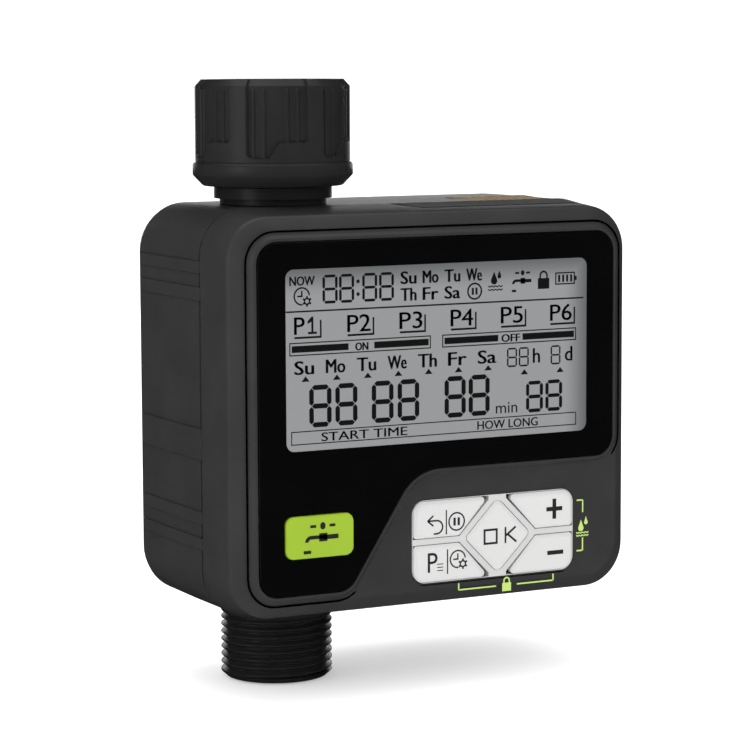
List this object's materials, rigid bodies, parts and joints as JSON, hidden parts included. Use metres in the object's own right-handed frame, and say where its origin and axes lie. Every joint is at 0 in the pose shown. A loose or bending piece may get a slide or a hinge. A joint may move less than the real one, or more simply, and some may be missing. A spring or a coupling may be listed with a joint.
{
  "type": "drip irrigation timer",
  "caption": "Battery water timer with a swivel tap nut, motor ball valve, display, keypad, rain sensor and threaded hose outlet.",
  "frame": {"origin": "centre of the swivel nut's mouth, on the tap line", "axes": "+Z along the tap line out of the nut's mouth, -Y towards the viewer of the display, +X to the viewer's right"},
  "size_m": [0.106, 0.0569, 0.1413],
  "materials": {
    "shell": "fine matte moulding",
    "window": "polished black acrylic",
    "lcd": "glass over reflective film",
    "light_plastic": "satin white moulding",
    "key": "satin silicone-faced plastic",
    "lime": "satin lime plastic",
    "rubber_grey": "smooth seal rubber",
    "rubber_black": "smooth seal rubber",
    "zebra": "layered conductive elastomer",
    "board": "solder-masked laminate",
    "component": "moulded packages",
    "steel": "plated steel",
    "gold": "gold-plated contact",
    "cell": "printed shrink sleeve",
    "door": "fine matte moulding",
    "nut": "matte glass-filled nylon",
    "pipe": "satin glass-filled nylon",
    "filter": "woven stainless mesh",
    "ball": "smooth acetal",
    "seat": "fluoropolymer",
    "brass": "turned brass",
    "gear": "moulded acetal",
    "gearbox": "moulded nylon",
    "motor_can": "drawn steel can",
    "motor_cap": "moulded nylon",
    "wire": "flexible insulation"
  },
  "bodies": {
    "housing": {"front_shell": "shell", "rear_shell": "shell", "display_window": "window", "lcd_panel": "lcd", "lcd_backlight": "light_plastic", "contact_strips": "zebra", "circuit_board": "board", "board_components": "component", "switch_domes": "steel", "keypad_web": "light_plastic", "housing_seal": "rubber_grey", "housing_screws": "steel", "rain_sensor_plate": "gold", "sensor_leads": "gold", "door_seal": "rubber_black", "door_hinge_pin": "steel", "battery_cells": "cell", "battery_contacts": "steel", "inlet_washer": "rubber_black", "inlet_filter": "filter", "inlet_neck": "pipe", "neck_o_rings": "rubber_black", "valve_body": "pipe", "ball_seats": "seat", "stem_o_rings": "rubber_black", "gear_axles": "steel", "gearbox_base": "gearbox", "gearbox_cover": "gearbox", "gearbox_screws": "steel", "motor_can": "motor_can", "motor_cap": "motor_cap", "motor_wires": "wire", "battery_wires": "wire"},
    "nut": {"swivel_nut": "nut"},
    "button_manual": {"manual_button": "lime"},
    "key_back_body": {"key_back": "key"},
    "key_program_body": {"key_program": "key"},
    "key_ok_body": {"key_ok": "key"},
    "key_plus_body": {"key_plus": "key"},
    "key_minus_body": {"key_minus": "key"},
    "door": {"battery_door": "door"},
    "ball": {"valve_ball": "ball", "valve_stem": "brass", "output_gear": "gear"},
    "gear_b_body": {"gear_b": "gear"},
    "gear_a_body": {"gear_a": "gear"},
    "rotor": {"motor_pinion": "brass", "motor_shaft": "steel"}
  },
  "joints": [
    {"name": "nut_swivel", "type": "hinge", "parent": "housing", "child": "nut", "pos_m": [0, 0, 0], "axis": [0, 0, 1], "continuous": true},
    {"name": "manual_press", "type": "slide", "parent": "housing", "child": "button_manual", "axis": [0, 1, 0], "range_m": [0, 0.0008], "stiffness_N_per_m": 350},
    {"name": "back_press", "type": "slide", "parent": "housing", "child": "key_back_body", "axis": [0, 1, 0], "range_m": [0, 0.0006], "stiffness_N_per_m": 350},
    {"name": "program_press", "type": "slide", "parent": "housing", "child": "key_program_body", "axis": [0, 1, 0], "range_m": [0, 0.0006], "stiffness_N_per_m": 350},
    {"name": "ok_press", "type": "slide", "parent": "housing", "child": "key_ok_body", "axis": [0, 1, 0], "range_m": [0, 0.0006], "stiffness_N_per_m": 350},
    {"name": "plus_press", "type": "slide", "parent": "housing", "child": "key_plus_body", "axis": [0, 1, 0], "range_m": [0, 0.0006], "stiffness_N_per_m": 350},
    {"name": "minus_press", "type": "slide", "parent": "housing", "child": "key_minus_body", "axis": [0, 1, 0], "range_m": [0, 0.0006], "stiffness_N_per_m": 350},
    {"name": "door_hinge", "type": "hinge", "parent": "housing", "child": "door", "pos_m": [0.0395, 0.0223, -0.0968], "axis": [-1, 0, 0], "range_deg": [0, 100]},
    {"name": "motor_spin", "type": "hinge", "parent": "housing", "child": "rotor", "pos_m": [0.03, 0.00112, -0.10643], "axis": [-1, 0, 0], "range_deg": [0, 2430]},
    {"name": "gear_a_spin", "type": "hinge", "parent": "housing", "child": "gear_a_body", "pos_m": [0.023, -0.00565, -0.10397], "axis": [1, 0, 0], "range_deg": [0, 810]},
    {"name": "gear_b_spin", "type": "hinge", "parent": "housing", "child": "gear_b_body", "pos_m": [0.02, -0.0069, -0.11106], "axis": [-1, 0, 0], "range_deg": [0, 270]},
    {"name": "ball_turn", "type": "hinge", "parent": "housing", "child": "ball", "pos_m": [0, 0, -0.109], "axis": [1, 0, 0], "range_deg": [0, 90]}
  ],
  "couplings": [
    {"joint": "gear_b_spin", "follows": "ball_turn", "ratio": 3},
    {"joint": "gear_a_spin", "follows": "ball_turn", "ratio": 9},
    {"joint": "motor_spin", "follows": "ball_turn", "ratio": 27}
  ]
}
